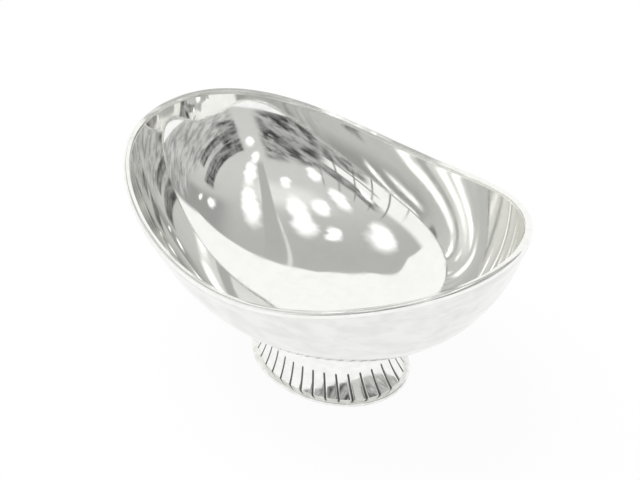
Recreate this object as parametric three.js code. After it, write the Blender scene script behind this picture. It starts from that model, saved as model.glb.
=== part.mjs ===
// Oval silver bowl with upswept ends, standing on an engraved oval foot.
// Millimetres, +Z up. The long axis of the oval lies along X, and the bowl stands on z = 0.

import * as THREE from "three";

// Bowl, measured over the lip wire
const bowlLength = 160;
const bowlWidth = 105.2;
const rimEndHeight = 78.9;
const rimSideHeight = 63.1;
// Exponent of the rim's oval: 2 is a true ellipse, more is fuller at the corners
const rimFullness = 2.08;
// How far the rim's sweep levels off towards the two ends
const rimEndEase = 0.46;

// Raised sheet of the bowl, thickened a little towards its edge
const floorHeight = 25.6;
const floorThickness = 0.9;
// Each face's profile is an arc from the floor to the lip: its steepness is the sine of the
// angle that it turns through, and its flatness keeps the floor level. Both drift from the
// long sides of the oval to its two ends.
const outerProfile = { sideSteepness: 0.928, endSteepness: 0.959, sideFlatness: 1.72, endFlatness: 1.49 };
const innerProfile = { sideSteepness: 0.943, endSteepness: 0.982, sideFlatness: 1.69, endFlatness: 1.42 };

// Lip wire, round on top and flat where it sits on the edge of the sheet
const lipWidth = 2.3;
const lipOverhang = 0.6;
const lipHeight = 1.9;
const lipShoulder = 0.7;
const lipCorner = 0.1;

// Foot shell, flared from a straight neck down to the base ring
const footBottomLength = 62.4;
const footBottomWidth = 45;
const footNeckLength = 49.8;
const footNeckWidth = 36.2;
const footFlareHeight = 19.4;
const footWall = 1.2;

// Engraved lines of the foot, evenly spaced round its oval, with a line at each end
const grooveCount = 34;
const grooveWidth = 1.1;
const grooveDepth = 0.4;
const grooveRunOut = 0.8;
const plainNeckHeight = 16.1;

// Base ring, a flat band that the foot shell stands on
const ringHeight = 1.6;
const ringStep = 2.1;
const ringLedge = 1;
const ringBevel = 0.3;
const ringRound = 0.6;

// Silver solder between the pieces, and the fillets that it leaves
const solderGap = 0.1;
const neckFilletLeg = 1.2;
const ringFilletLeg = 0.6;
// The fillet under the lip takes up this share of the outer profile
const lipFilletShare = 0.07;

// Facets
const bowlColumns = 72;
const bowlRows = 12;
const lipArcSteps = 6;
const grooveRows = 4;
const neckRows = 2;
const footInnerRows = 5;
const arcLengthSteps = 2000;

const footBottomHeight = ringHeight + solderGap;
const outerFace = { inset: lipOverhang, floor: floorHeight, profile: outerProfile };
const innerFace = {
  inset: lipWidth,
  floor: floorHeight + floorThickness,
  profile: innerProfile,
};
// The outer face with the film of solder that lies on it
const solderFace = { ...outerFace, inset: lipOverhang - solderGap };

const polishedSilver = () =>
  new THREE.MeshStandardMaterial({ color: 0xdcdbd6, roughness: 0.08, metalness: 1 });
const wornSilver = () =>
  new THREE.MeshStandardMaterial({ color: 0xe2e1dd, roughness: 0.22, metalness: 1 });
const silverSolder = () =>
  new THREE.MeshStandardMaterial({ color: 0xc9c7bf, roughness: 0.35, metalness: 1 });

// Closed skin over rows of points, each row running once round the oval. With two poles the
// skin ends in two fans, and without them the last row meets the first again.
function closedSkin(rows, poles = []) {
  const columns = rows[0].length;
  const geometry = new THREE.BufferGeometry();
  geometry.setFromPoints([...rows.flat(), ...poles]);
  const faces = [];
  const joins = poles.length > 0 ? rows.length - 1 : rows.length;
  for (let row = 0; row < joins; row++) {
    const here = row * columns;
    const above = ((row + 1) % rows.length) * columns;
    for (let column = 0; column < columns; column++) {
      const next = (column + 1) % columns;
      faces.push(here + column, here + next, above + next);
      faces.push(here + column, above + next, above + column);
    }
  }
  if (poles.length > 0) {
    const lastRow = (rows.length - 1) * columns;
    const firstPole = rows.length * columns;
    for (let column = 0; column < columns; column++) {
      const next = (column + 1) % columns;
      faces.push(firstPole, next, column);
      faces.push(firstPole + 1, lastRow + column, lastRow + next);
    }
  }
  geometry.setIndex(faces);
  geometry.computeVertexNormals();
  return geometry;
}

// Ring of one piece round the oval: section(column) lists its corners, up the outer side
// and down the inner side.
function ringSkin(columns, section) {
  const loops = columns.map(section);
  const rows = loops[0].map((_, corner) => loops.map((loop) => loop[corner]));
  return closedSkin(rows);
}

// Height of the lip's top where the oval has gone the share `along` of its half length.
function rimHeight(along) {
  const sweep = along ** 2 * (1 + rimEndEase * (1 - along ** 2));
  return rimSideHeight + (rimEndHeight - rimSideHeight) * sweep;
}

// The lip wire's flat underside, and the sheet's edge below it.
function lipUnderside(along) {
  return rimHeight(along) - lipHeight;
}

function sheetEdge(along) {
  return lipUnderside(along) - solderGap;
}

// Share of the half length and half width that the rim's oval reaches at an angle.
function rimShares(angle) {
  const cosine = Math.cos(angle);
  const sine = Math.sin(angle);
  return {
    along: Math.sign(cosine) * Math.abs(cosine) ** (2 / rimFullness),
    across: Math.sign(sine) * Math.abs(sine) ** (2 / rimFullness),
  };
}

// Point beside the rim's oval, drawn in by `inset` from the lip's outer edge.
function rimPoint(angle, inset, height) {
  const { along, across } = rimShares(angle);
  const x = (bowlLength / 2 - inset) * along;
  const y = (bowlWidth / 2 - inset) * across;
  return new THREE.Vector3(x, y, height);
}

// Steepness and flatness of a profile where the rim has gone the share `along` to an end.
function profileAt(profile, along) {
  const share = along ** 2;
  const steepness = THREE.MathUtils.lerp(profile.sideSteepness, profile.endSteepness, share);
  const flatness = THREE.MathUtils.lerp(profile.sideFlatness, profile.endFlatness, share);
  return { steepness, flatness };
}

// Share of the way up from the floor to the lip where the profile's arc has turned so far.
function profileLift(turn, steepness) {
  return (1 - Math.cos(turn)) / (1 - Math.cos(Math.asin(steepness)));
}

// Point on a face of the sheet, after a share of its profile's turn from the floor to the lip.
function sheetPoint(angle, turned, face) {
  const { along } = rimShares(angle);
  const { steepness, flatness } = profileAt(face.profile, along);
  const turn = Math.asin(steepness) * turned;
  const reach = (Math.sin(turn) / steepness) ** (1 / flatness);
  const height = face.floor + (sheetEdge(along) - face.floor) * profileLift(turn, steepness);
  const edge = rimPoint(angle, face.inset, height);
  return new THREE.Vector3(edge.x * reach, edge.y * reach, edge.z);
}

// Height of the sheet's underside above a point of the plan.
function undersideHeight(x, y) {
  const along = Math.abs(x) / (bowlLength / 2 - lipOverhang);
  const across = Math.abs(y) / (bowlWidth / 2 - lipOverhang);
  const reach = (along ** rimFullness + across ** rimFullness) ** (1 / rimFullness);
  const { steepness, flatness } = profileAt(outerProfile, along / reach);
  const turn = Math.asin(steepness * reach ** flatness);
  const rise = sheetEdge(along / reach) - floorHeight;
  return floorHeight + rise * profileLift(turn, steepness);
}

// Angles round the bowl
const bowlAngles = Array.from(
  { length: bowlColumns },
  (_, column) => (2 * Math.PI * column) / bowlColumns,
);

// Raised bowl: the outer face from the floor up to the edge, then the inner face back down.
function bowlSheet() {
  const shares = Array.from({ length: bowlRows }, (_, row) => (row + 1) / bowlRows);
  const outer = shares.map((turned) =>
    bowlAngles.map((angle) => sheetPoint(angle, turned, outerFace)),
  );
  const inner = shares.map((turned) =>
    bowlAngles.map((angle) => sheetPoint(angle, turned, innerFace)),
  );
  const poles = [outerFace, innerFace].map((face) => new THREE.Vector3(0, 0, face.floor));
  return closedSkin([...outer, ...inner.reverse()], poles);
}

// Lip wire, swept along the sheet's edge: flush with it inside, overhanging it outside.
function lipWire() {
  return ringSkin(bowlAngles, (angle) => {
    const underside = lipUnderside(rimShares(angle).along);
    const corners = [rimPoint(angle, lipCorner, underside)];
    for (let step = 0; step <= lipArcSteps; step++) {
      const turn = (Math.PI * step) / lipArcSteps;
      const inset = (lipWidth / 2) * (1 - Math.cos(turn));
      const rise = lipShoulder + (lipHeight - lipShoulder) * Math.sin(turn);
      corners.push(rimPoint(angle, inset, underside + rise));
    }
    corners.push(rimPoint(angle, lipWidth - lipCorner, underside));
    return corners;
  });
}

// Solder below the lip wire, filed down to run smoothly into the outside of the sheet.
function lipSolder() {
  return ringSkin(bowlAngles, (angle) => {
    const top = lipUnderside(rimShares(angle).along) - solderGap;
    return [
      sheetPoint(angle, 1 - lipFilletShare, solderFace),
      rimPoint(angle, lipCorner, top),
      rimPoint(angle, solderFace.inset, top),
    ];
  });
}

// Angles round the foot: each line's bottom, its far edge, the middle of the land beyond
// it, and the next line's near edge.
function footAngles() {
  const halfLength = footBottomLength / 2;
  const halfWidth = footBottomWidth / 2;
  const oval = new THREE.EllipseCurve(0, 0, halfLength, halfWidth);
  oval.arcLengthDivisions = arcLengthSteps;
  const perimeter = oval.getLength();
  const pitch = perimeter / grooveCount;
  const angles = [];
  for (let line = 0; line < grooveCount; line++) {
    const start = line * pitch;
    const stops = [0, grooveWidth / 2, pitch / 2, pitch - grooveWidth / 2];
    for (const stop of stops) {
      const point = oval.getPointAt((start + stop) / perimeter);
      angles.push(Math.atan2(point.y / halfWidth, point.x / halfLength));
    }
  }
  return angles;
}

const shellAngles = footAngles();
const stopsPerGroove = shellAngles.length / grooveCount;
// Every second stop, a line's bottom or the middle of a land, is enough for the plain rings
const ringAngles = shellAngles.filter((_, column) => column % 2 === 0);

// Point on the foot's flare at a height, drawn in by `inset` from its outer face.
function footPoint(angle, height, inset) {
  const climbed = (height - footBottomHeight) / footFlareHeight;
  const flare = Math.max(0, 1 - climbed) ** 2;
  const halfLength = (footNeckLength + (footBottomLength - footNeckLength) * flare) / 2;
  const halfWidth = (footNeckWidth + (footBottomWidth - footNeckWidth) * flare) / 2;
  const x = (halfLength - inset) * Math.cos(angle);
  const y = (halfWidth - inset) * Math.sin(angle);
  return new THREE.Vector3(x, y, height);
}

// Where a line up the foot, `inset` from its outer face, ends below the bowl.
function footTop(angle, inset) {
  const { x, y } = footPoint(angle, floorHeight, inset);
  return undersideHeight(x, y) - solderGap;
}

// Foot shell: up the engraved outer face, then down the plain inner face.
function footShell() {
  const columns = shellAngles.map((angle, column) => ({
    angle,
    depth: column % stopsPerGroove === 0 ? grooveDepth : 0,
  }));
  return ringSkin(columns, ({ angle, depth }) => {
    const outerTop = footTop(angle, 0);
    const innerTop = footTop(angle, footWall);
    const grooveTop = outerTop - plainNeckHeight;
    const grooveFull = grooveTop - grooveRunOut;
    const corners = [];
    for (let row = 0; row <= grooveRows; row++) {
      const height = THREE.MathUtils.lerp(footBottomHeight, grooveFull, row / grooveRows);
      corners.push(footPoint(angle, height, depth));
    }
    for (let row = 0; row <= neckRows; row++) {
      const height = THREE.MathUtils.lerp(grooveTop, outerTop, row / neckRows);
      corners.push(footPoint(angle, height, 0));
    }
    for (let row = 0; row <= footInnerRows; row++) {
      const height = THREE.MathUtils.lerp(innerTop, footBottomHeight, row / footInnerRows);
      corners.push(footPoint(angle, height, footWall));
    }
    return corners;
  });
}

// Fillet of solder round the neck, between the foot and the bowl's underside.
function neckSolder() {
  return ringSkin(ringAngles, (angle) => {
    const against = -solderGap;
    const away = against - neckFilletLeg;
    const hollow = against - neckFilletLeg / 3;
    const top = footTop(angle, against);
    return [
      footPoint(angle, top - neckFilletLeg, against),
      footPoint(angle, top - neckFilletLeg / 3, hollow),
      footPoint(angle, footTop(angle, away), away),
      footPoint(angle, top, against),
    ];
  });
}

// Base ring, wider than the foot outside and inside, with its outer edge rounded over.
function baseRing() {
  return ringSkin(ringAngles, (angle) => {
    const corner = (inset, height) => {
      const point = footPoint(angle, footBottomHeight, inset);
      return point.setZ(height);
    };
    const innerInset = footWall + ringLedge;
    return [
      corner(ringBevel - ringStep, 0),
      corner(-ringStep, ringBevel),
      corner(-ringStep, ringHeight - ringRound),
      corner(ringRound / 3 - ringStep, ringHeight - ringRound / 3),
      corner(ringRound - ringStep, ringHeight),
      corner(innerInset, ringHeight),
      corner(innerInset, 0),
    ];
  });
}

// Fillet of solder inside the foot, where the shell stands on the base ring.
function ringSolder() {
  return ringSkin(ringAngles, (angle) => {
    const inset = footWall + solderGap;
    const top = footBottomHeight + ringFilletLeg;
    return [
      footPoint(angle, footBottomHeight, inset),
      footPoint(angle, top, inset),
      footPoint(angle, footBottomHeight, inset + ringFilletLeg),
    ];
  });
}

function piece(name, geometry, material) {
  const mesh = new THREE.Mesh(geometry, material);
  mesh.name = name;
  return mesh;
}

const bowl = new THREE.Group();
bowl.add(
  piece("bowl_body", bowlSheet(), polishedSilver()),
  piece("lip_wire", lipWire(), polishedSilver()),
  piece("lip_solder", lipSolder(), silverSolder()),
  piece("foot_shell", footShell(), wornSilver()),
  piece("neck_solder", neckSolder(), silverSolder()),
  piece("base_ring", baseRing(), wornSilver()),
  piece("base_solder", ringSolder(), silverSolder()),
);

export default bowl;
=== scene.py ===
"""Oval silver bowl on an engraved foot, dressed around its frame. Metres, +Z up."""

import math

import bpy
import numpy as np
from mathutils import Matrix, Vector


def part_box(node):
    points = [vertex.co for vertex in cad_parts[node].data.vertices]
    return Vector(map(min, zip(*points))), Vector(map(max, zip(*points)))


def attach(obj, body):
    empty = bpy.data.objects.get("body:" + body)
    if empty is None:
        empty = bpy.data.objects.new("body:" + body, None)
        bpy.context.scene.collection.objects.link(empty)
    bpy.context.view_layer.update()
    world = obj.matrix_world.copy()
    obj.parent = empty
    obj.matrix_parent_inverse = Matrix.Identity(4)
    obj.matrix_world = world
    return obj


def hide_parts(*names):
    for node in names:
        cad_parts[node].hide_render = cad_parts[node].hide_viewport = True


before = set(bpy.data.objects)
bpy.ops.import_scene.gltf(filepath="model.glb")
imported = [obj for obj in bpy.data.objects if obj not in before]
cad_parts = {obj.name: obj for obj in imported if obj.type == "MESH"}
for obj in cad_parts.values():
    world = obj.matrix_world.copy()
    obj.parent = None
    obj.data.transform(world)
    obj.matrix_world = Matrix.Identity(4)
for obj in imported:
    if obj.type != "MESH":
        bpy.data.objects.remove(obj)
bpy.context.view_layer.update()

MM = 0.001
QUARTER_TURN = math.pi / 2
FULL_TURN = 2 * math.pi

# Places read from the frame
lip_low, lip_high = (Vector(corner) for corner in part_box("lip_wire"))
sheet_low, sheet_high = (Vector(corner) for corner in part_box("bowl_body"))
foot_low, foot_high = (Vector(corner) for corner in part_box("foot_shell"))
_, ring_high = (Vector(corner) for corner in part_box("base_ring"))
_, neck_high = (Vector(corner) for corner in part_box("neck_solder"))

# Bowl and lip
RIM_FULLNESS = 2.08
RIM_END_EASE = 0.46
FLOOR_THICKNESS = 0.9 * MM
LIP_WIDTH = 2.3 * MM
LIP_HEIGHT = 1.9 * MM
LIP_SHOULDER = 0.7 * MM
LIP_CORNER = 0.1 * MM
# The lip is rounded over outside its ridge, and slopes down towards the bowl inside it
LIP_RIDGE = 1.1 * MM
LIP_SLOPE_DROP = 0.5 * MM
LIP_SLOPE_POWER = 1.05
LIP_INNER_ROUND = 0.15 * MM
# Hand work leaves the ridge and the slope a little uneven: how far, and waves round the rim
LIP_RIDGE_PLAY = 0.12 * MM
LIP_RIDGE_WAVES = (11, 19, 31)
LIP_SLOPE_PLAY = 0.12 * MM
LIP_SLOPE_WAVES = (13, 23, 29)
# Share of the outer profile that the solder under the lip takes up, a place just below it
# that gives the wall's slope, and how firmly the solder follows the wall and the lip
LIP_FILLET_SHARE = 0.07
LIP_FILLET_BELOW = LIP_FILLET_SHARE * 1.1
LIP_FILLET_PULL = 0.35


class Profile:
    """Arc from the bowl's floor to its lip. Its steepness is the sine of the angle that it
    turns through, and its flatness keeps the floor level. Both drift from the long sides of
    the oval to its two ends."""

    def __init__(self, side_steepness, end_steepness, side_flatness, end_flatness):
        self.steepness = (side_steepness, end_steepness)
        self.flatness = (side_flatness, end_flatness)

    def at(self, along):
        """Steepness and flatness where the rim has gone the share `along` to an end."""
        share = along**2
        return [a + (b - a) * share for a, b in (self.steepness, self.flatness)]


OUTER_PROFILE = Profile(0.928, 0.959, 1.72, 1.49)
INNER_PROFILE = Profile(0.943, 0.982, 1.69, 1.42)

# Foot, its engraved lines and its base ring
FOOT_WALL = 1.2 * MM
FLARE_HEIGHT = 19.4 * MM
NECK_FILLET = 1.2 * MM
GROOVES = 34
GROOVE_WIDTH = 1.1 * MM
GROOVE_DEPTH = 0.4 * MM
GROOVE_RUN_OUT = 0.8 * MM
PLAIN_NECK = 16.1 * MM
RING_BEVEL = 0.3 * MM
RING_ROUND = 0.6 * MM
RING_LEDGE = 1 * MM
RING_FILLET = 0.6 * MM

# Sizes worked out from the frame and the values above
half_length = lip_high.x
half_width = lip_high.y
rim_end = lip_high.z
rim_side = lip_low.z + LIP_HEIGHT
lip_overhang = lip_high.x - sheet_high.x
solder_gap = lip_high.z - sheet_high.z - LIP_HEIGHT
floor_height = sheet_low.z
ring_top = ring_high.z
neck_half_length = neck_high.x - NECK_FILLET - solder_gap
neck_half_width = neck_high.y - NECK_FILLET - solder_gap

# Fineness of the smooth meshes
BOWL_COLUMNS = 288
BOWL_ROWS = 72
LIP_STEPS = 24
FOOT_ROWS = 36
NECK_ROWS = 14
FILLET_STEPS = 8
OVAL_STEPS = 20000


def rim_height(along):
    """Height of the lip's top where the oval has gone the share `along` of its half length."""
    sweep = along**2 * (1 + RIM_END_EASE * (1 - along**2))
    return rim_side + (rim_end - rim_side) * sweep


def sheet_edge(along):
    """The sheet's edge and the lip's underside, which sits on it."""
    return rim_height(along) - LIP_HEIGHT


def rim_shares(angle):
    """Shares of the half length and half width that the rim's oval reaches at an angle."""
    cosine, sine = np.cos(angle), np.sin(angle)
    along = np.sign(cosine) * np.abs(cosine) ** (2 / RIM_FULLNESS)
    across = np.sign(sine) * np.abs(sine) ** (2 / RIM_FULLNESS)
    return along, across


def rim_points(angle, inset, height):
    """Points beside the rim's oval, drawn in by `inset` from the lip's outer edge."""
    along, across = rim_shares(angle)
    x = (half_length - inset) * along
    y = (half_width - inset) * across
    return np.stack([x, y, height + 0 * x], axis=-1)


def profile_lift(turn, steepness):
    """Share of the way up to the lip where the profile's arc has turned so far."""
    return (1 - np.cos(turn)) / (1 - np.cos(np.arcsin(steepness)))


def sheet_points(angle, turned, inset, floor, profile):
    """Points on one face of the sheet, after a share of its profile's turn."""
    along, _ = rim_shares(angle)
    steepness, flatness = profile.at(along)
    turn = np.arcsin(steepness) * turned
    reach = (np.sin(turn) / steepness) ** (1 / flatness)
    height = floor + (sheet_edge(along) - floor) * profile_lift(turn, steepness)
    edge = rim_points(angle, inset, height)
    return edge * np.stack([reach, reach, np.ones_like(reach)], axis=-1)


def outer_points(angle, turned):
    """Points on the outer face of the sheet."""
    return sheet_points(angle, turned, lip_overhang, floor_height, OUTER_PROFILE)


def inner_points(angle, turned):
    """Points on the inner face of the sheet."""
    inner_floor = floor_height + FLOOR_THICKNESS
    return sheet_points(angle, turned, LIP_WIDTH, inner_floor, INNER_PROFILE)


def underside_height(x, y):
    """Height of the sheet's underside above points of the plan."""
    along = np.abs(x) / (half_length - lip_overhang)
    across = np.abs(y) / (half_width - lip_overhang)
    reach = (along**RIM_FULLNESS + across**RIM_FULLNESS) ** (1 / RIM_FULLNESS)
    steepness, flatness = OUTER_PROFILE.at(along / reach)
    turn = np.arcsin(steepness * reach**flatness)
    rise = sheet_edge(along / reach) - floor_height
    return floor_height + rise * profile_lift(turn, steepness)


def foot_points(angle, height, inset):
    """Points on the foot's flare at a height, drawn in by `inset` from its outer face."""
    climbed = (height - foot_low.z) / FLARE_HEIGHT
    flare = np.clip(1 - climbed, 0, None) ** 2
    x_half = neck_half_length + (foot_high.x - neck_half_length) * flare
    y_half = neck_half_width + (foot_high.y - neck_half_width) * flare
    x = (x_half - inset) * np.cos(angle)
    y = (y_half - inset) * np.sin(angle)
    return np.stack([x, y, height + 0 * x], axis=-1)


def foot_top(angle, inset):
    """Where lines up the foot, `inset` from its outer face, meet the bowl."""
    below = foot_points(angle, floor_height + 0 * angle, inset)
    return underside_height(below[..., 0], below[..., 1])


def even_angles(offsets):
    """Angles at the given shares of the way round the foot's bottom oval, from its +X end,
    and the length of that oval."""
    angle = np.linspace(0, FULL_TURN, OVAL_STEPS + 1)
    speed = np.hypot(foot_high.x * np.sin(angle), foot_high.y * np.cos(angle))
    middle = (speed[1:] + speed[:-1]) / 2
    length = np.concatenate([[0], np.cumsum(middle) * (FULL_TURN / OVAL_STEPS)])
    return np.interp(np.asarray(offsets) % 1.0 * length[-1], length, angle), length[-1]


def make_mesh(name, rows, poles=(), corners=()):
    """Closed smooth mesh over rows of points that each run once round the oval. With poles
    it ends in two fans, and without them the last row meets the first again. The rows in
    `corners`, counted from either end, stay crisp."""
    row_count, columns, _ = rows.shape
    points = [tuple(p) for p in rows.reshape(-1, 3)] + [tuple(p) for p in poles]
    faces = []
    joins = row_count - 1 if len(poles) else row_count
    for row in range(joins):
        here = row * columns
        above = (row + 1) % row_count * columns
        for column in range(columns):
            following = (column + 1) % columns
            faces.append((here + column, here + following, above + following, above + column))
    if len(poles):
        last = (row_count - 1) * columns
        pole = row_count * columns
        for column in range(columns):
            following = (column + 1) % columns
            faces.append((pole, following, column))
            faces.append((pole + 1, last + column, last + following))
    mesh = bpy.data.meshes.new(name)
    mesh.from_pydata(points, [], faces)
    mesh.shade_smooth()
    crisp = {corner % row_count for corner in corners}
    for edge in mesh.edges:
        first, second = (vertex // columns for vertex in edge.vertices)
        edge.use_edge_sharp = first == second and first in crisp
    mesh.update()
    piece = bpy.data.objects.new(name, mesh)
    bpy.context.scene.collection.objects.link(piece)
    return piece


def settle(piece, node, slot, *materials):
    """Gives a piece its materials and ties it to the frame."""
    for material in materials:
        piece.data.materials.append(material)
    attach(piece, "root")
    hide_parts(node)


FLAT_FACE_WEIGHT = 100


def keep_flats(piece):
    """Keeps flat faces flat beside their small rounded edges."""
    weighted = piece.modifiers.new("flat_faces", "WEIGHTED_NORMAL")
    weighted.weight = FLAT_FACE_WEIGHT


# Node trees


class Nodes:
    """Short way to write a node tree."""

    def __init__(self, tree):
        tree.nodes.clear()
        self.tree = tree

    def add(self, kind, **settings):
        node = self.tree.nodes.new(kind)
        for name, value in settings.items():
            setattr(node, name, value)
        return node

    def put(self, socket, value):
        if isinstance(value, bpy.types.NodeSocket):
            self.tree.links.new(value, socket)
        else:
            socket.default_value = value

    def math(self, operation, *values):
        node = self.add("ShaderNodeMath", operation=operation)
        for socket, value in zip(node.inputs, values):
            self.put(socket, value)
        return node.outputs[0]

    def plus(self, first, second):
        return self.math("ADD", first, second)

    def minus(self, first, second):
        return self.math("SUBTRACT", first, second)

    def times(self, first, second):
        return self.math("MULTIPLY", first, second)

    def ratio(self, first, second):
        return self.math("DIVIDE", first, second)

    def dot(self, vector, direction):
        node = self.add("ShaderNodeVectorMath", operation="DOT_PRODUCT")
        self.put(node.inputs[0], vector)
        node.inputs[1].default_value = direction
        return node.outputs["Value"]

    def ramp(self, value, low, high, to_low=0.0, to_high=1.0):
        """Smooth step from to_low at `low` to to_high at `high`."""
        node = self.add("ShaderNodeMapRange", interpolation_type="SMOOTHSTEP")
        self.put(node.inputs["Value"], value)
        node.inputs["From Min"].default_value = low
        node.inputs["From Max"].default_value = high
        node.inputs["To Min"].default_value = to_low
        node.inputs["To Max"].default_value = to_high
        return node.outputs[0]

    def fall(self, value, low, high):
        """Smooth step from 1 at `low` down to 0 at `high`."""
        return self.ramp(value, low, high, 1.0, 0.0)

    def band(self, value, low, high, soft):
        """1 between low and high, 0 outside, with soft edges."""
        rising = self.ramp(value, low - soft, low + soft)
        return self.times(rising, self.fall(value, high - soft, high + soft))

    def combine(self, x, y):
        node = self.add("ShaderNodeCombineXYZ")
        self.put(node.inputs[0], x)
        self.put(node.inputs[1], y)
        return node.outputs[0]

    def mix(self, share, first, second):
        node = self.add("ShaderNodeMix", data_type="RGBA")
        self.put(node.inputs[0], share)
        self.put(node.inputs[6], first)
        self.put(node.inputs[7], second)
        return node.outputs[2]

    def noise(self, vector, scale, detail=2.0, roughness=0.5, distortion=0.0):
        node = self.add("ShaderNodeTexNoise")
        self.put(node.inputs["Vector"], vector)
        node.inputs["Scale"].default_value = scale
        node.inputs["Detail"].default_value = detail
        node.inputs["Roughness"].default_value = roughness
        node.inputs["Distortion"].default_value = distortion
        return node.outputs[0]


def grey(level):
    return (level, level, level, 1.0)


# Blue that is left in the room's light, and in what silver gives back, as shares of the rest
ROOM_BLUE = 0.985
SILVER_BLUE = 0.98


def room_grey(level):
    """Grey in the slightly warm light of the room."""
    return (level, level, level * ROOM_BLUE, 1.0)


def silver_tone(level):
    """Silver's own colour: it gives back a little less blue."""
    return (level, level, level * SILVER_BLUE, 1.0)


# Wear of the silver. Clouds are fine patches on a slow drift. Rubbing leaves marks that run
# along the piece, so the patches are flatter than they are long.
RUB_FLATNESS = 1.5
PATCH_DETAIL = 3.0
PATCH_DISTORTION = 0.4
DRIFT_COARSENESS = 8
DRIFT_SHARE = 0.4
CLOUD_RANGE = (0.5, 0.95)
DENT_COARSENESS = 3
# Painted shade in the engraved lines: depths at which it starts and is full, its tone, and added
# roughness
LINE_SHADE_RANGE = (0.02, 0.35)
LINE_SHADE_TONE = 0.2
LINE_ROUGHNESS = 0.3


def silver(name, tones, roughness, patch_scale, dent=0.0, engraved=False):
    """Silver that is cloudy with wear: its tone and roughness drift between two values. Its
    dents are as deep as `dent`, and an engraved piece gets painted shade in its lines."""
    material = bpy.data.materials.new(name)
    material.use_nodes = True
    nodes = Nodes(material.node_tree)
    output = nodes.add("ShaderNodeOutputMaterial")
    shader = nodes.add("ShaderNodeBsdfPrincipled")
    nodes.put(output.inputs[0], shader.outputs[0])
    shader.inputs["Metallic"].default_value = 1.0
    place = nodes.add("ShaderNodeTexCoord").outputs["Object"]
    flatter = nodes.add("ShaderNodeMapping")
    nodes.put(flatter.inputs["Vector"], place)
    flatter.inputs["Scale"].default_value = (1, 1, RUB_FLATNESS)
    rubbed = flatter.outputs[0]
    patches = nodes.noise(rubbed, patch_scale, PATCH_DETAIL, distortion=PATCH_DISTORTION)
    drift = nodes.noise(place, patch_scale / DRIFT_COARSENESS)
    worn = nodes.plus(patches, nodes.times(drift, DRIFT_SHARE))
    clouds = nodes.ramp(worn, *CLOUD_RANGE)
    bright, dull = tones
    colour = nodes.mix(clouds, silver_tone(bright), silver_tone(dull))
    finish = nodes.ramp(clouds, 0.0, 1.0, *roughness)
    if engraved:
        # Painted shade: the colour darkens towards the shade tone as the engraved lines get
        # deeper
        line = nodes.add("ShaderNodeAttribute", attribute_name="engraving").outputs["Fac"]
        shade = nodes.ramp(line, *LINE_SHADE_RANGE)
        colour = nodes.mix(shade, colour, silver_tone(LINE_SHADE_TONE))
        finish = nodes.plus(finish, nodes.times(shade, LINE_ROUGHNESS))
    nodes.put(shader.inputs["Base Color"], colour)
    nodes.put(shader.inputs["Roughness"], finish)
    if dent > 0:
        bump = nodes.add("ShaderNodeBump")
        bump.inputs["Strength"].default_value = 1.0
        bump.inputs["Distance"].default_value = dent
        nodes.put(bump.inputs["Height"], nodes.noise(place, patch_scale / DENT_COARSENESS))
        nodes.put(shader.inputs["Normal"], bump.outputs[0])
    return material


# Finishes: bright and dull tone, least and most roughness, and how fine the patches are
inside_silver = silver("silver_inside", (0.95, 0.92), (0.03, 0.07), 200, dent=0.02 * MM)
# Painted shade: the outside's tones are set lower than the inside's to stand for the shadowed
# table under the bowl, which the outside mirrors
shaded_outside_silver = silver("silver_outside_shaded", (0.87, 0.79), (0.08, 0.18), 120, dent=0.05 * MM)
lip_silver = silver("silver_lip", (0.96, 0.92), (0.14, 0.26), 300, dent=0.15 * MM)
foot_silver = silver("silver_foot", (0.97, 0.9), (0.05, 0.12), 300, engraved=True)
ring_silver = silver("silver_ring", (0.95, 0.8), (0.1, 0.2), 400, dent=0.1 * MM)
solder_silver = silver("silver_solder", (0.86, 0.74), (0.2, 0.36), 400)

bowl_angles = np.arange(BOWL_COLUMNS) * (FULL_TURN / BOWL_COLUMNS)


def raised_bowl():
    """The sheet: its outer face from the floor to the edge, then its inner face back down."""
    shares = np.arange(1, BOWL_ROWS + 1) / BOWL_ROWS
    outer = [outer_points(bowl_angles, turned) for turned in shares]
    inner = [inner_points(bowl_angles, turned) for turned in shares]
    poles = [(0, 0, floor_height), (0, 0, floor_height + FLOOR_THICKNESS)]
    edge_rows = (BOWL_ROWS - 1, BOWL_ROWS)
    piece = make_mesh("raised_bowl", np.array(outer + inner[::-1]), poles, edge_rows)
    settle(piece, "bowl_body", "polished_silver", shaded_outside_silver, inside_silver)
    # The inner face takes the second material: its rows come after the outer face's
    first_inner = (BOWL_ROWS - 1) * BOWL_COLUMNS
    walls = (2 * BOWL_ROWS - 1) * BOWL_COLUMNS
    inside = [int(first_inner <= face < walls) for face in range(walls)]
    inside += [0, 1] * BOWL_COLUMNS
    piece.data.polygons.foreach_set("material_index", inside)


def unevenness(angle, waves):
    """Sum of waves round the rim, between -1 and 1."""
    return sum(np.sin(count * (angle + 1)) for count in waves) / len(waves)


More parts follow.
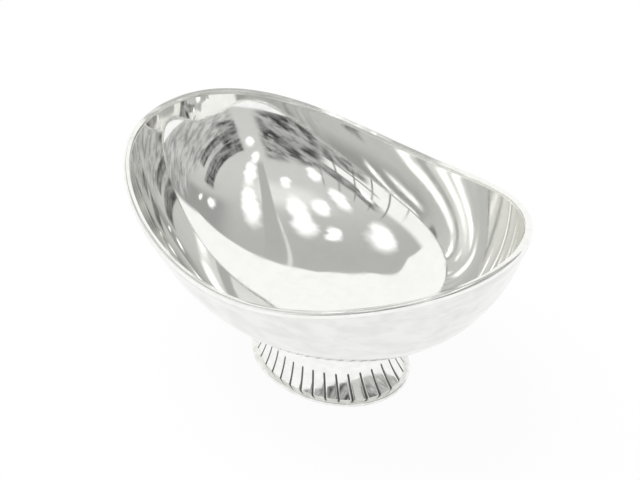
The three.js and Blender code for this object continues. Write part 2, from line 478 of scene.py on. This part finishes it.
def lip():
    """Wire on the edge of the sheet, rounded over outside its ridge and sloping inside it."""
    along, _ = rim_shares(bowl_angles)
    underside = sheet_edge(along)
    ridge = LIP_RIDGE + LIP_RIDGE_PLAY * unevenness(bowl_angles, LIP_RIDGE_WAVES)
    drop = LIP_SLOPE_DROP + LIP_SLOPE_PLAY * unevenness(bowl_angles, LIP_SLOPE_WAVES)
    section = [(LIP_CORNER, 0.0)]
    for turn in np.linspace(0, QUARTER_TURN, LIP_STEPS + 1):
        rise = LIP_SHOULDER + (LIP_HEIGHT - LIP_SHOULDER) * math.sin(turn)
        section.append((ridge * (1 - math.cos(turn)), rise))
    slope_end = LIP_WIDTH - LIP_INNER_ROUND
    for share in np.linspace(0, 1, LIP_STEPS + 1)[1:]:
        inset = ridge + (slope_end - ridge) * share
        section.append((inset, LIP_HEIGHT - drop * share**LIP_SLOPE_POWER))
    for turn in np.linspace(0, QUARTER_TURN, FILLET_STEPS + 1)[1:]:
        inset = slope_end + LIP_INNER_ROUND * math.sin(turn)
        rise = LIP_HEIGHT - drop - LIP_INNER_ROUND * (1 - math.cos(turn))
        section.append((inset, rise))
    section.append((LIP_WIDTH - LIP_CORNER, 0.0))
    rows = [rim_points(bowl_angles, inset, underside + rise) for inset, rise in section]
    piece = make_mesh("lip", np.array(rows), corners=(0, -1))
    settle(piece, "lip_wire", "lip_silver", lip_silver)


def fillet(size):
    """Steps of a hollow quarter round in a corner: distances along its two sides, from the
    end of the first to the end of the second."""
    turns = np.linspace(0, QUARTER_TURN, FILLET_STEPS + 1)
    return [((1 - math.sin(turn)) * size, (1 - math.cos(turn)) * size) for turn in turns]


def lip_joint():
    """Solder under the lip, filed down to run smoothly into the outside of the sheet."""
    along, _ = rim_shares(bowl_angles)
    top = sheet_edge(along)
    low_end = outer_points(bowl_angles, 1 - LIP_FILLET_SHARE)
    below = outer_points(bowl_angles, 1 - LIP_FILLET_BELOW)
    lip_side = rim_points(bowl_angles, LIP_CORNER, top)
    reach = np.linalg.norm(lip_side - low_end, axis=-1, keepdims=True)
    along_wall = (low_end - below) / np.linalg.norm(low_end - below, axis=-1, keepdims=True)
    down_the_lip = rim_points(bowl_angles, LIP_CORNER, top - LIP_FILLET_PULL * reach[:, 0])
    rows = []
    for share in np.linspace(0, 1, FILLET_STEPS + 1):
        rest = 1 - share
        rows.append(
            rest**3 * low_end
            + 3 * rest**2 * share * (low_end + along_wall * reach * LIP_FILLET_PULL)
            + 3 * rest * share**2 * down_the_lip
            + share**3 * lip_side
        )
    rows.append(outer_points(bowl_angles, 1.0))
    piece = make_mesh("lip_joint", np.array(rows), corners=(0, -2, -1))
    settle(piece, "lip_solder", "silver_solder", shaded_outside_silver)


# Stops across one engraved line, as shares of half its width, and steps of the land beside it
LINE_STOPS = np.linspace(-1, 1, 11)
LAND_STEPS = 7


def foot_columns():
    """Angles round the foot, and how deep the engraving goes at each of them."""
    _, perimeter = even_angles([0.0])
    half = GROOVE_WIDTH / 2 / perimeter
    pitch = 1 / GROOVES
    offsets, depths = [], []
    for line in range(GROOVES):
        middle = line * pitch
        offsets.extend(middle + LINE_STOPS * half)
        depths.extend(0.5 + 0.5 * np.cos(LINE_STOPS * math.pi))
        land = np.linspace(middle + half, middle + pitch - half, LAND_STEPS + 2)[1:-1]
        offsets.extend(land)
        depths.extend(0 * land)
    angles, _ = even_angles(offsets)
    return angles, np.array(depths)


foot_angles, line_depths = foot_columns()


def engraved_foot():
    """Flared foot: up the engraved outer face, then down the plain inner face."""
    outer_top = foot_top(foot_angles, 0)
    inner_top = foot_top(foot_angles, FOOT_WALL)
    line_top = outer_top - PLAIN_NECK
    rows, engraving = [], []
    for share in np.linspace(0, 1, FOOT_ROWS + 1):
        height = ring_top + (line_top - ring_top) * share
        left = np.clip((line_top - height) / GROOVE_RUN_OUT, 0, 1)
        depth = line_depths * np.sqrt(1 - (1 - left) ** 2)
        rows.append(foot_points(foot_angles, height, GROOVE_DEPTH * depth))
        engraving.append(depth)
    for share in np.linspace(0, 1, NECK_ROWS + 1)[1:]:
        height = line_top + (outer_top - line_top) * share
        rows.append(foot_points(foot_angles, height, 0))
        engraving.append(0 * line_depths)
    for share in np.linspace(0, 1, FOOT_ROWS + 1):
        height = inner_top + (ring_top - inner_top) * share
        rows.append(foot_points(foot_angles, height, FOOT_WALL))
        engraving.append(0 * line_depths)
    ends = (0, FOOT_ROWS + NECK_ROWS, FOOT_ROWS + NECK_ROWS + 1, -1)
    piece = make_mesh("engraved_foot", np.array(rows), corners=ends)
    layer = piece.data.attributes.new("engraving", "FLOAT", "POINT")
    layer.data.foreach_set("value", np.concatenate(engraving))
    settle(piece, "foot_shell", "engraved_silver", foot_silver)


def neck_joint():
    """Hollow fillet of solder round the neck, below the bowl."""
    rows = []
    for drop, out in fillet(NECK_FILLET):
        height = foot_top(foot_angles, -out) - drop
        rows.append(foot_points(foot_angles, height, -out))
    rows.append(foot_points(foot_angles, foot_top(foot_angles, 0), 0))
    piece = make_mesh("neck_joint", np.array(rows), corners=(0, -2, -1))
    settle(piece, "neck_solder", "silver_solder", solder_silver)


def foot_base():
    """Flat band that the foot stands on, its outer edge rounded over."""
    step = ring_high.x - foot_high.x
    section = []
    for turn in np.linspace(0, QUARTER_TURN, FILLET_STEPS + 1):
        away = RING_BEVEL * (1 - math.sin(turn))
        section.append((away - step, RING_BEVEL * (1 - math.cos(turn))))
    for turn in np.linspace(0, QUARTER_TURN, FILLET_STEPS + 1):
        away = RING_ROUND * (1 - math.cos(turn))
        section.append((away - step, ring_top - RING_ROUND * (1 - math.sin(turn))))
    section.append((FOOT_WALL + RING_LEDGE, ring_top))
    section.append((FOOT_WALL + RING_LEDGE, 0.0))
    rows = []
    for inset, height in section:
        ring = foot_points(foot_angles, foot_low.z + 0 * foot_angles, inset)
        ring[:, 2] = height
        rows.append(ring)
    piece = make_mesh("foot_base", np.array(rows))
    keep_flats(piece)
    settle(piece, "base_ring", "engraved_silver", ring_silver)


def base_joint():
    """Hollow fillet of solder inside the foot, on the base ring."""
    rows = [foot_points(foot_angles, ring_top + 0 * foot_angles, FOOT_WALL)]
    for rise, inward in fillet(RING_FILLET):
        height = ring_top + rise + 0 * foot_angles
        rows.append(foot_points(foot_angles, height, FOOT_WALL + inward))
    piece = make_mesh("base_joint", np.array(rows), corners=(0, 1, -1))
    settle(piece, "base_solder", "silver_solder", solder_silver)


raised_bowl()
lip()
lip_joint()
engraved_foot()
neck_joint()
foot_base()
base_joint()

# Camera, at the photograph's angle
CAMERA_AZIMUTH = math.radians(48.23)
CAMERA_ELEVATION = math.radians(36.19)
CAMERA_ROLL = math.radians(4.66)
CAMERA_DISTANCE = 432.5 * MM
CAMERA_TARGET = Vector((0, 0, 42.67 * MM))
PICTURE_WIDTH = 640
PICTURE_HEIGHT = 480
FOCAL_PIXELS = 1234
TARGET_X = 322
TARGET_Y = 261.3
SENSOR_WIDTH = 36
NEAREST_SEEN = 10 * MM

# Level directions to the camera's right and towards it, and the way from the bowl to it
right = Vector((math.cos(CAMERA_AZIMUTH), math.sin(CAMERA_AZIMUTH), 0))
towards = Vector((math.sin(CAMERA_AZIMUTH), -math.cos(CAMERA_AZIMUTH), 0))
back = towards * math.cos(CAMERA_ELEVATION) + Vector((0, 0, math.sin(CAMERA_ELEVATION)))


def pointed(direction):
    """Turn that points a camera or a lamp in a direction."""
    return direction.to_track_quat("-Z", "Y").to_matrix().to_4x4()


def add_camera():
    """Camera whose lens is shifted so that the bowl lies where the picture shows it."""
    lens = bpy.data.cameras.new("camera")
    lens.sensor_width = SENSOR_WIDTH
    lens.lens = FOCAL_PIXELS / PICTURE_WIDTH * SENSOR_WIDTH
    lens.shift_x = (PICTURE_WIDTH / 2 - TARGET_X) / PICTURE_WIDTH
    lens.shift_y = (TARGET_Y - PICTURE_HEIGHT / 2) / PICTURE_WIDTH
    lens.clip_start = NEAREST_SEEN
    camera = bpy.data.objects.new("camera", lens)
    roll = Matrix.Rotation(-CAMERA_ROLL, 4, "Z")
    place = Matrix.Translation(CAMERA_TARGET + back * CAMERA_DISTANCE)
    camera.matrix_world = place @ pointed(-back) @ roll
    bpy.context.scene.collection.objects.link(camera)
    bpy.context.scene.camera = camera


# Studio


def seen_directly(nodes):
    """1 for rays from the camera, from metal and through glass, 0 for soft light."""
    path = nodes.add("ShaderNodeLightPath")
    direct = nodes.math("MAXIMUM", path.outputs["Is Camera Ray"], path.outputs["Is Glossy Ray"])
    return nodes.math("MAXIMUM", direct, path.outputs["Is Transmission Ray"])


FLOOR_SIZE = 12.0
FLOOR_TONE = 0.94
# How much of the floor's look is plain white. The rest is the tone that takes the shadow.
FLOOR_WHITE_SHARE = 0.94


def add_floor():
    """Plain white table, which keeps the soft shadow of the bowl."""
    mesh = bpy.data.meshes.new("table")
    half = FLOOR_SIZE / 2
    corners = [(-half, -half, 0), (half, -half, 0), (half, half, 0), (-half, half, 0)]
    mesh.from_pydata(corners, [], [(0, 1, 2, 3)])
    floor = bpy.data.objects.new("table", mesh)
    bpy.context.scene.collection.objects.link(floor)
    material = bpy.data.materials.new("table_white")
    material.use_nodes = True
    nodes = Nodes(material.node_tree)
    output = nodes.add("ShaderNodeOutputMaterial")
    paper = nodes.add("ShaderNodeBsdfDiffuse")
    paper.inputs["Color"].default_value = grey(FLOOR_TONE)
    white = nodes.add("ShaderNodeEmission")
    white.inputs["Color"].default_value = grey(1.0)
    white.inputs["Strength"].default_value = 1.0
    both = nodes.add("ShaderNodeMixShader")
    nodes.put(both.inputs[0], nodes.times(seen_directly(nodes), FLOOR_WHITE_SHARE))
    nodes.put(both.inputs[1], paper.outputs[0])
    nodes.put(both.inputs[2], white.outputs[0])
    nodes.put(output.inputs[0], both.outputs[0])
    mesh.materials.append(material)


SOFT_BOX_SIZE = 1.5
SOFT_BOX_POWER = 24.0
# Where the soft box hangs: to the right of the bowl, away from the camera, and above it
SOFT_BOX_PLACE = (-0.5, 0.3, 2.2)


def add_soft_box():
    """Lamp with a broad soft face over the left of the table. Metal mirrors the ceiling's
    lamps instead of it."""
    data = bpy.data.lights.new("soft_box", "AREA")
    data.size = SOFT_BOX_SIZE
    data.energy = SOFT_BOX_POWER
    lamp = bpy.data.objects.new("soft_box", data)
    to_right, away, above = SOFT_BOX_PLACE
    place = right * to_right - towards * away + Vector((0, 0, above))
    lamp.matrix_world = Matrix.Translation(place) @ pointed(-place)
    lamp.visible_glossy = False
    lamp.visible_camera = False
    bpy.context.scene.collection.objects.link(lamp)


# Surroundings that the silver mirrors. Tones are shares of white. Places on the ceiling lie to
# the right of the bowl and away from the camera, as parts of the ceiling's height. Azimuths are
# degrees from the camera to its right, and elevations are degrees above the table. A span says
# where something starts, where it ends, and how soft its two edges are. A fade says where
# something starts to show or to go, and where it has done so.
LOWEST_UP = 0.05

CEILING_TONES = (0.63, 0.48)
CEILING_FADE_AWAY = (-0.9, 0.6)
SHADE_TONE = 0.36
SHADE_FADE_RIGHT = (0.45, 0.85)
SHADE_FADE_AWAY = (-0.25, 0.0)
POOL_TONE = 0.82
POOL_SPAN_RIGHT = (-0.5, 0.3, 0.2)
POOL_SPAN_AWAY = (-0.75, -0.28, 0.18)

BEAM_TONE = 0.46
BEAM_LEAN = 0.065
BEAM_SPAN_RIGHT = (0.085, 0.205, 0.01)
BEAM_SPAN_AWAY = (-1.4, 0.75, 0.15)
BEAM_EDGE_TONE = 0.75
BEAM_EDGE_SPAN_RIGHT = (0.066, 0.082, 0.006)
BEAM_EDGE_FADE_AWAY = (-0.2, 0.1)

# The top of the windows is level on the left, and falls to the right from its bend on
WINDOW_TOP = 31.0
WINDOW_TOP_BEND = -75.0
WINDOW_TOP_FALL = 0.3
PANE_TONE = 0.97
PANE_SPAN = (-116.0, -42.0, 4.0)
PANE_TOP_FADE = (-2.0, 3.0)
BAR_TONE = 0.3
BAR_SPAN = (-88.0, -38.0, 4.0)
BAR_TOP_FADE = (34.0, 42.0)
BAR_LEAN = 0.3
BAR_PITCH = 10.0
BAR_START = -76.5
BAR_SPAN_IN_PITCH = (0.45, 0.55, 0.03)
FRIEZE_TONES = (0.1, 0.5)
FRIEZE_SPAN = (-76.0, -38.0, 4.0)
FRIEZE_SPAN_OVER_TOP = (-1.0, 5.5, 0.8)
FRIEZE_STREAK = (9.0, 1.5)
RAIL_TONE = 0.3
RAIL_SPAN = (-72.0, -40.0, 3.0)
RAIL_SPAN_OVER_TOP = (-6.8, -5.8, 0.3)

# Streaks: each kind has its own size, degrees across and degrees along
STREAK_DETAIL = 3.0
STREAK_ROUGHNESS = 0.6
STREAK_DISTORTION = 0.4
STREAK_FADE = (0.34, 0.66)

COUNTER_TONES = (0.06, 0.5)
COUNTER_FADE_LEFT = (-46.0, -34.0)
COUNTER_FADE_RIGHT = (-9.0, -2.0)
COUNTER_SLOPE = 0.17
COUNTER_SPAN_UP = (2.0, 32.0, 4.0)
COUNTER_STREAK_SLOPE = -0.3
COUNTER_COARSE_STREAK = (13.0, 6.0)
COUNTER_FINE_STREAK = (7.0, 1.6)
COUNTER_FINE_SHARE = 0.5
COUNTER_STREAK_FADE = (0.2, 1.4)
LOW_COUNTER_SHARE = 0.85
LOW_COUNTER_SPAN = (-64.0, -40.0, 3.0)
LOW_COUNTER_SLOPE = -0.2
LOW_COUNTER_TOP_FADE = (5.5, 7.5)

WALL_TONES = (0.3, 0.64)
WALL_SPAN = (14.0, 104.0, 4.0)
WALL_SPAN_UP = (1.0, 26.0, 4.0)
WALL_STREAK = (14.0, 2.6)
SHELF_TONES = (0.03, 0.4)
SHELF_SLOPE = 0.28
UPRIGHT_STREAK = (3.5, 10.0)
UPRIGHT_SHARE = 0.35
LEVEL_STREAK = (18.0, 2.2)
LEVEL_SHARE = 0.65
UPPER_SHELF_SPAN = (12.0, 74.0, 2.0)
UPPER_SHELF_SPAN_UP = (15.5, 24.0, 0.6)
LOWER_SHELF_SPAN = (12.0, 64.0, 2.0)
LOWER_SHELF_SPAN_UP = (7.5, 12.5, 0.6)
STACK_SPAN = (12.0, 30.0, 1.5)
STACK_SPAN_UP = (8.0, 27.0, 1.0)
# The wall shows through half of the stack where its level streaks are palest
STACK_GAP_FADE = (0.0, 0.6)
STACK_GAP_SHARES = (1.0, 0.5)

# The right board's top is low far from the corner and grows towards it. The left board's top
# rises over its length, and once more close to the corner.
BOARD_TONE = 1.0
RIGHT_BOARD_LOW = 0.42
RIGHT_BOARD_GROWTH = 0.62
RIGHT_BOARD_LENGTH = 0.3
LEFT_BOARD_FADE = (-0.95, -0.35)
LEFT_BOARD_TOPS = (0.615, 0.88)
LEFT_CORNER_FADE = (-0.25, 0.0)
LEFT_CORNER_RISE = (0.0, 0.16)
BOARD_SOFTNESS = 0.02
BOARD_FADE_ROUND = (106.0, 111.0)

LAMP_LEVEL = 1.5
# How a lamp fades from its middle outwards, in its half sizes, and how uneven lamps are
LAMP_FADE = (0.3, 1.5)
LAMP_PLAY = 0.07
LAMP_PLAY_SCALE = 5.0
LAMP_FADE_UP = (0.2, 0.3)
# Ceiling lamps: place to the right of the bowl and away from the camera, half length, half
# width, all as parts of the ceiling's height, and how far each is turned
LAMPS = (
    (-0.82, 0.20, 0.33, 0.15, 40),
    (-0.27, 0.18, 0.14, 0.05, 65),
    (-0.13, -0.12, 0.36, 0.08, 80),
    (0.33, -0.22, 0.35, 0.09, 95),
    (-0.42, -0.36, 0.17, 0.08, 65),
    (0.95, 0.00, 0.09, 0.09, 80),
    (1.28, 0.02, 0.09, 0.05, 70),
    (-0.85, -0.58, 0.27, 0.11, 65),
    (-0.93, -1.30, 0.30, 0.11, 60),
    (-0.23, -0.86, 0.16, 0.06, 65),
    (0.28, -0.98, 0.36, 0.09, 82),
    (0.12, -1.62, 0.30, 0.08, 77),
    (0.20, -2.70, 0.45, 0.14, 85),
    (-1.70, -0.76, 0.26, 0.09, 60),
)


class Room:
    """Node tree of the surroundings, painted layer over layer from the ceiling down."""

    def __init__(self, nodes):
        self.nodes = nodes
        direction = nodes.add("ShaderNodeTexCoord").outputs["Generated"]
        side = nodes.dot(direction, right)
        front = nodes.dot(direction, towards)
        self.up = nodes.dot(direction, (0, 0, 1))
        self.azimuth = nodes.math("DEGREES", nodes.math("ARCTAN2", side, front))
        self.elevation = nodes.math("DEGREES", nodes.math("ARCSINE", self.up))
        height = nodes.math("MAXIMUM", self.up, LOWEST_UP)
        self.over_right = nodes.ratio(side, height)
        self.over_away = nodes.ratio(nodes.times(front, -1.0), height)
        self.colour = None

    def paint(self, share, tone):
        """Lays a tone over what is there, as far as `share` says."""
        self.colour = self.nodes.mix(share, self.colour, tone)

    def between(self, share, tones):
        """Greys that go from the first tone to the second."""
        first, second = tones
        return self.nodes.mix(share, room_grey(first), room_grey(second))

    def patch(self, across, across_span, along, along_span):
        """1 where both values are inside their spans, 0 outside."""
        nodes = self.nodes
        return nodes.times(nodes.band(across, *across_span), nodes.band(along, *along_span))

    def slanted(self, slope):
        """Degrees above a line that rises by `slope` from left to right."""
        nodes = self.nodes
        return nodes.minus(self.elevation, nodes.times(self.azimuth, slope))

    def streaks(self, along, size):
        """Uneven streaks of about the given size."""
        nodes = self.nodes
        run, depth = size
        stretched = nodes.combine(nodes.ratio(self.azimuth, run), nodes.ratio(along, depth))
        marks = nodes.noise(stretched, 1.0, STREAK_DETAIL, STREAK_ROUGHNESS, STREAK_DISTORTION)
        return nodes.ramp(marks, *STREAK_FADE)

    def ceiling(self):
        """Grey ceiling, palest near the camera, shaded on the right, with a lit pool."""
        nodes = self.nodes
        self.colour = self.between(nodes.ramp(self.over_away, *CEILING_FADE_AWAY), CEILING_TONES)
        shaded = nodes.times(
            nodes.ramp(self.over_right, *SHADE_FADE_RIGHT),
            nodes.ramp(self.over_away, *SHADE_FADE_AWAY),
        )
        self.paint(shaded, room_grey(SHADE_TONE))
        pool = self.patch(self.over_right, POOL_SPAN_RIGHT, self.over_away, POOL_SPAN_AWAY)
        self.paint(pool, room_grey(POOL_TONE))

    def beam(self):
        """Beam under the ceiling, which runs from the corner over the bowl, with a light edge."""
        nodes = self.nodes
        nearer = nodes.times(nodes.math("MINIMUM", self.over_away, 0.0), BEAM_LEAN)
        from_edge = nodes.minus(self.over_right, nearer)
        beam = self.patch(from_edge, BEAM_SPAN_RIGHT, self.over_away, BEAM_SPAN_AWAY)
        self.paint(beam, room_grey(BEAM_TONE))
        edge = nodes.times(
            nodes.band(from_edge, *BEAM_EDGE_SPAN_RIGHT),
            nodes.ramp(self.over_away, *BEAM_EDGE_FADE_AWAY),
        )
        self.paint(edge, room_grey(BEAM_EDGE_TONE))

    def windows(self):
        """Windows on the left, with upright bars, a streaky frieze on top and a rail across."""
        nodes = self.nodes
        past_bend = nodes.math("MAXIMUM", nodes.minus(self.azimuth, WINDOW_TOP_BEND), 0.0)
        top = nodes.minus(WINDOW_TOP, nodes.times(past_bend, WINDOW_TOP_FALL))
        over_top = nodes.minus(self.elevation, top)
        below_top = nodes.fall(over_top, *PANE_TOP_FADE)
        panes = nodes.times(below_top, nodes.band(self.azimuth, *PANE_SPAN))
        self.paint(panes, room_grey(PANE_TONE))
        leaning = nodes.plus(self.azimuth, nodes.times(self.elevation, BAR_LEAN))
        in_pitch = nodes.math("FRACT", nodes.ratio(nodes.minus(leaning, BAR_START), BAR_PITCH))
        bars = self.patch(in_pitch, BAR_SPAN_IN_PITCH, self.azimuth, BAR_SPAN)
        bars = nodes.times(bars, nodes.fall(self.elevation, *BAR_TOP_FADE))
        self.paint(bars, room_grey(BAR_TONE))
        frieze = self.patch(over_top, FRIEZE_SPAN_OVER_TOP, self.azimuth, FRIEZE_SPAN)
        self.paint(frieze, self.between(self.streaks(over_top, FRIEZE_STREAK), FRIEZE_TONES))
        rail = self.patch(over_top, RAIL_SPAN_OVER_TOP, self.azimuth, RAIL_SPAN)
        self.paint(rail, room_grey(RAIL_TONE))

    def counter(self):
        """Dim counter in front of the bowl, on the left, with a low part under the windows."""
        nodes = self.nodes
        slant = self.slanted(COUNTER_STREAK_SLOPE)
        coarse = self.streaks(slant, COUNTER_COARSE_STREAK)
        fine = nodes.times(self.streaks(slant, COUNTER_FINE_STREAK), COUNTER_FINE_SHARE)
        marks = nodes.ramp(nodes.plus(coarse, fine), *COUNTER_STREAK_FADE)
        sides = nodes.times(
            nodes.ramp(self.azimuth, *COUNTER_FADE_LEFT),
            nodes.fall(self.azimuth, *COUNTER_FADE_RIGHT),
        )
        tall = nodes.times(sides, nodes.band(self.slanted(COUNTER_SLOPE), *COUNTER_SPAN_UP))
        low = nodes.times(
            nodes.band(self.azimuth, *LOW_COUNTER_SPAN),
            nodes.fall(self.slanted(LOW_COUNTER_SLOPE), *LOW_COUNTER_TOP_FADE),
        )
        place = nodes.math("MAXIMUM", tall, nodes.times(low, LOW_COUNTER_SHARE))
        self.paint(place, self.between(marks, COUNTER_TONES))

    def shelves(self):
        """Streaky wall in front of the bowl, on the right, with two dark shelves that rise to
        the right and a stack beside them."""
        nodes = self.nodes
        rise = self.slanted(SHELF_SLOPE)
        wall = self.patch(self.azimuth, WALL_SPAN, self.elevation, WALL_SPAN_UP)
        self.paint(wall, self.between(self.streaks(rise, WALL_STREAK), WALL_TONES))
        upright = self.streaks(rise, UPRIGHT_STREAK)
        level = self.streaks(rise, LEVEL_STREAK)
        filling = nodes.plus(
            nodes.times(upright, UPRIGHT_SHARE),
            nodes.times(level, LEVEL_SHARE),
        )
        upper = self.patch(rise, UPPER_SHELF_SPAN_UP, self.azimuth, UPPER_SHELF_SPAN)
        lower = self.patch(rise, LOWER_SHELF_SPAN_UP, self.azimuth, LOWER_SHELF_SPAN)
        stack = self.patch(self.elevation, STACK_SPAN_UP, self.azimuth, STACK_SPAN)
        stack = nodes.times(stack, nodes.ramp(level, *STACK_GAP_FADE, *STACK_GAP_SHARES))
        filled = nodes.math("MAXIMUM", nodes.math("MAXIMUM", upper, lower), stack)
        self.paint(filled, self.between(filling, SHELF_TONES))

    def boards(self):
        """White boards, whose tops rise towards the corner behind the bowl."""
        nodes = self.nodes
        growth = nodes.math("EXPONENT", nodes.ratio(self.over_right, -RIGHT_BOARD_LENGTH))
        right_top = nodes.plus(RIGHT_BOARD_LOW, nodes.times(RIGHT_BOARD_GROWTH, growth))
        left_top = nodes.plus(
            nodes.ramp(self.over_right, *LEFT_BOARD_FADE, *LEFT_BOARD_TOPS),
            nodes.ramp(self.over_right, *LEFT_CORNER_FADE, *LEFT_CORNER_RISE),
        )
        on_right = nodes.math("GREATER_THAN", self.over_right, 0.0)
        on_left = nodes.minus(1.0, on_right)
        top = nodes.plus(nodes.times(on_right, right_top), nodes.times(on_left, left_top))
        past_top = nodes.minus(self.over_away, top)
        board = nodes.ramp(past_top, -BOARD_SOFTNESS, BOARD_SOFTNESS)
        reach = nodes.ramp(nodes.math("ABSOLUTE", self.azimuth), *BOARD_FADE_ROUND)
        self.paint(nodes.times(board, reach), room_grey(BOARD_TONE))

    def lamps(self):
        """Soft lamps on the ceiling, a little uneven in outline."""
        nodes = self.nodes
        overhead = nodes.combine(self.over_right, self.over_away)
        uneven = nodes.add("ShaderNodeTexNoise")
        nodes.put(uneven.inputs["Vector"], overhead)
        uneven.inputs["Scale"].default_value = LAMP_PLAY_SCALE
        shift = nodes.add("ShaderNodeVectorMath", operation="MULTIPLY_ADD")
        nodes.put(shift.inputs[0], uneven.outputs["Color"])
        shift.inputs[1].default_value = (2 * LAMP_PLAY, 2 * LAMP_PLAY, 0)
        shift.inputs[2].default_value = (-LAMP_PLAY, -LAMP_PLAY, 0)
        moved = nodes.add("ShaderNodeVectorMath", operation="ADD")
        nodes.put(moved.inputs[0], overhead)
        nodes.put(moved.inputs[1], shift.outputs[0])
        glow = 0.0
        for to_right, away, long_half, short_half, turned in LAMPS:
            spot = nodes.add("ShaderNodeMapping", vector_type="TEXTURE")
            nodes.put(spot.inputs["Vector"], moved.outputs[0])
            spot.inputs["Location"].default_value = (to_right, away, 0)
            spot.inputs["Rotation"].default_value = (0, 0, math.radians(turned))
            spot.inputs["Scale"].default_value = (long_half, short_half, 1)
            from_middle = nodes.add("ShaderNodeVectorMath", operation="LENGTH")
            nodes.put(from_middle.inputs[0], spot.outputs[0])
            lit = nodes.fall(from_middle.outputs["Value"], *LAMP_FADE)
            glow = nodes.math("MAXIMUM", glow, lit)
        glow = nodes.times(glow, nodes.ramp(self.up, *LAMP_FADE_UP))
        self.paint(glow, room_grey(LAMP_LEVEL))


def add_world():
    """Grey ceiling with soft lamps, two white boards that meet in a corner behind the bowl,
    windows on the left, and a dim counter and shelves in front."""
    world = bpy.data.worlds.new("studio")
    bpy.context.scene.world = world
    world.use_nodes = True
    nodes = Nodes(world.node_tree)
    output = nodes.add("ShaderNodeOutputWorld")
    light = nodes.add("ShaderNodeBackground")
    nodes.put(output.inputs[0], light.outputs[0])
    room = Room(nodes)
    room.ceiling()
    room.beam()
    room.windows()
    room.counter()
    room.shelves()
    room.boards()
    room.lamps()
    nodes.put(light.inputs["Color"], room.colour)


add_camera()
add_floor()
add_soft_box()
add_world()
bpy.context.scene.view_settings.view_transform = "Standard"
# Light that glances round the inside of the bowl meets the silver many times
SILVER_BOUNCES = 16
bpy.context.scene.cycles.max_bounces = SILVER_BOUNCES
bpy.context.scene.cycles.glossy_bounces = SILVER_BOUNCES
